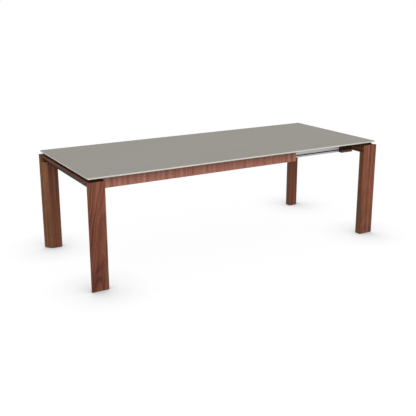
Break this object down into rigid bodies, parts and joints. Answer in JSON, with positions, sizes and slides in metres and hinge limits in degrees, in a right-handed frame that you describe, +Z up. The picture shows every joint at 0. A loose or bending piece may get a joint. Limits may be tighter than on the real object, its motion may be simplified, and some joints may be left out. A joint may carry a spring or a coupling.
{
  "type": "extending dining table",
  "caption": "Extending dining table with a grey glass top, a lift-out glass leaf and an end frame that slides out on telescopic rails.",
  "frame": {"origin": "on the floor under the middle of the table as the picture shows it, extended", "axes": "+X along the table to the end that pulls out, +Y to the back, +Z up"},
  "size_m": [2.3984, 0.99, 0.755],
  "materials": {
    "walnut": "satin",
    "apron_veneer": "satin",
    "grey_glass": "satin",
    "black_board": "matte",
    "beech": "matte",
    "aluminium": "satin",
    "black_steel": "satin",
    "steel": "satin",
    "nylon": "matte",
    "rubber": "matte",
    "felt": "matte"
  },
  "bodies": {
    "fixed_frame": {"left_beam": "walnut", "leg_front_left": "walnut", "leg_back_left": "walnut", "front_apron": "apron_veneer", "back_apron": "apron_veneer", "main_glass": "grey_glass", "main_board": "black_board", "front_apron_blocks": "beech", "back_apron_blocks": "beech", "cross_member_1": "beech", "cross_member_2": "beech", "cross_member_3": "beech", "front_fixed_rail": "aluminium", "back_fixed_rail": "aluminium", "front_rail_bracket": "black_steel", "front_leaf_ledge": "black_steel", "front_rail_stop": "black_steel", "back_rail_bracket": "black_steel", "back_leaf_ledge": "black_steel", "back_rail_stop": "black_steel", "left_leg_bolts": "steel", "left_plate_bolts": "steel", "leaf_pegs": "steel", "front_mouth_shoe": "nylon", "back_mouth_shoe": "nylon", "front_left_glide": "nylon", "back_left_glide": "nylon", "left_bumpers": "rubber", "front_felt": "felt", "back_felt": "felt"},
    "end_frame": {"right_beam": "walnut", "right_bumpers": "rubber", "right_leg_bolts": "steel", "right_plate_bolts": "steel", "leg_front_right": "walnut", "front_right_glide": "nylon", "front_sliding_rail": "aluminium", "front_tail_shoe": "nylon", "front_rail_clamp": "black_steel", "front_arm_lip": "walnut", "leg_back_right": "walnut", "back_right_glide": "nylon", "back_sliding_rail": "aluminium", "back_tail_shoe": "nylon", "back_rail_clamp": "black_steel", "back_arm_lip": "walnut"},
    "leaf": {"leaf_glass": "grey_glass", "leaf_board": "black_board"}
  },
  "joints": [
    {"name": "frame_slide", "type": "slide", "parent": "fixed_frame", "child": "end_frame", "axis": [1, 0, 0], "range_m": [-0.6, 0]},
    {"name": "leaf_lift", "type": "slide", "parent": "fixed_frame", "child": "leaf", "axis": [0, 0, 1], "range_m": [0, 0.12]}
  ]
}
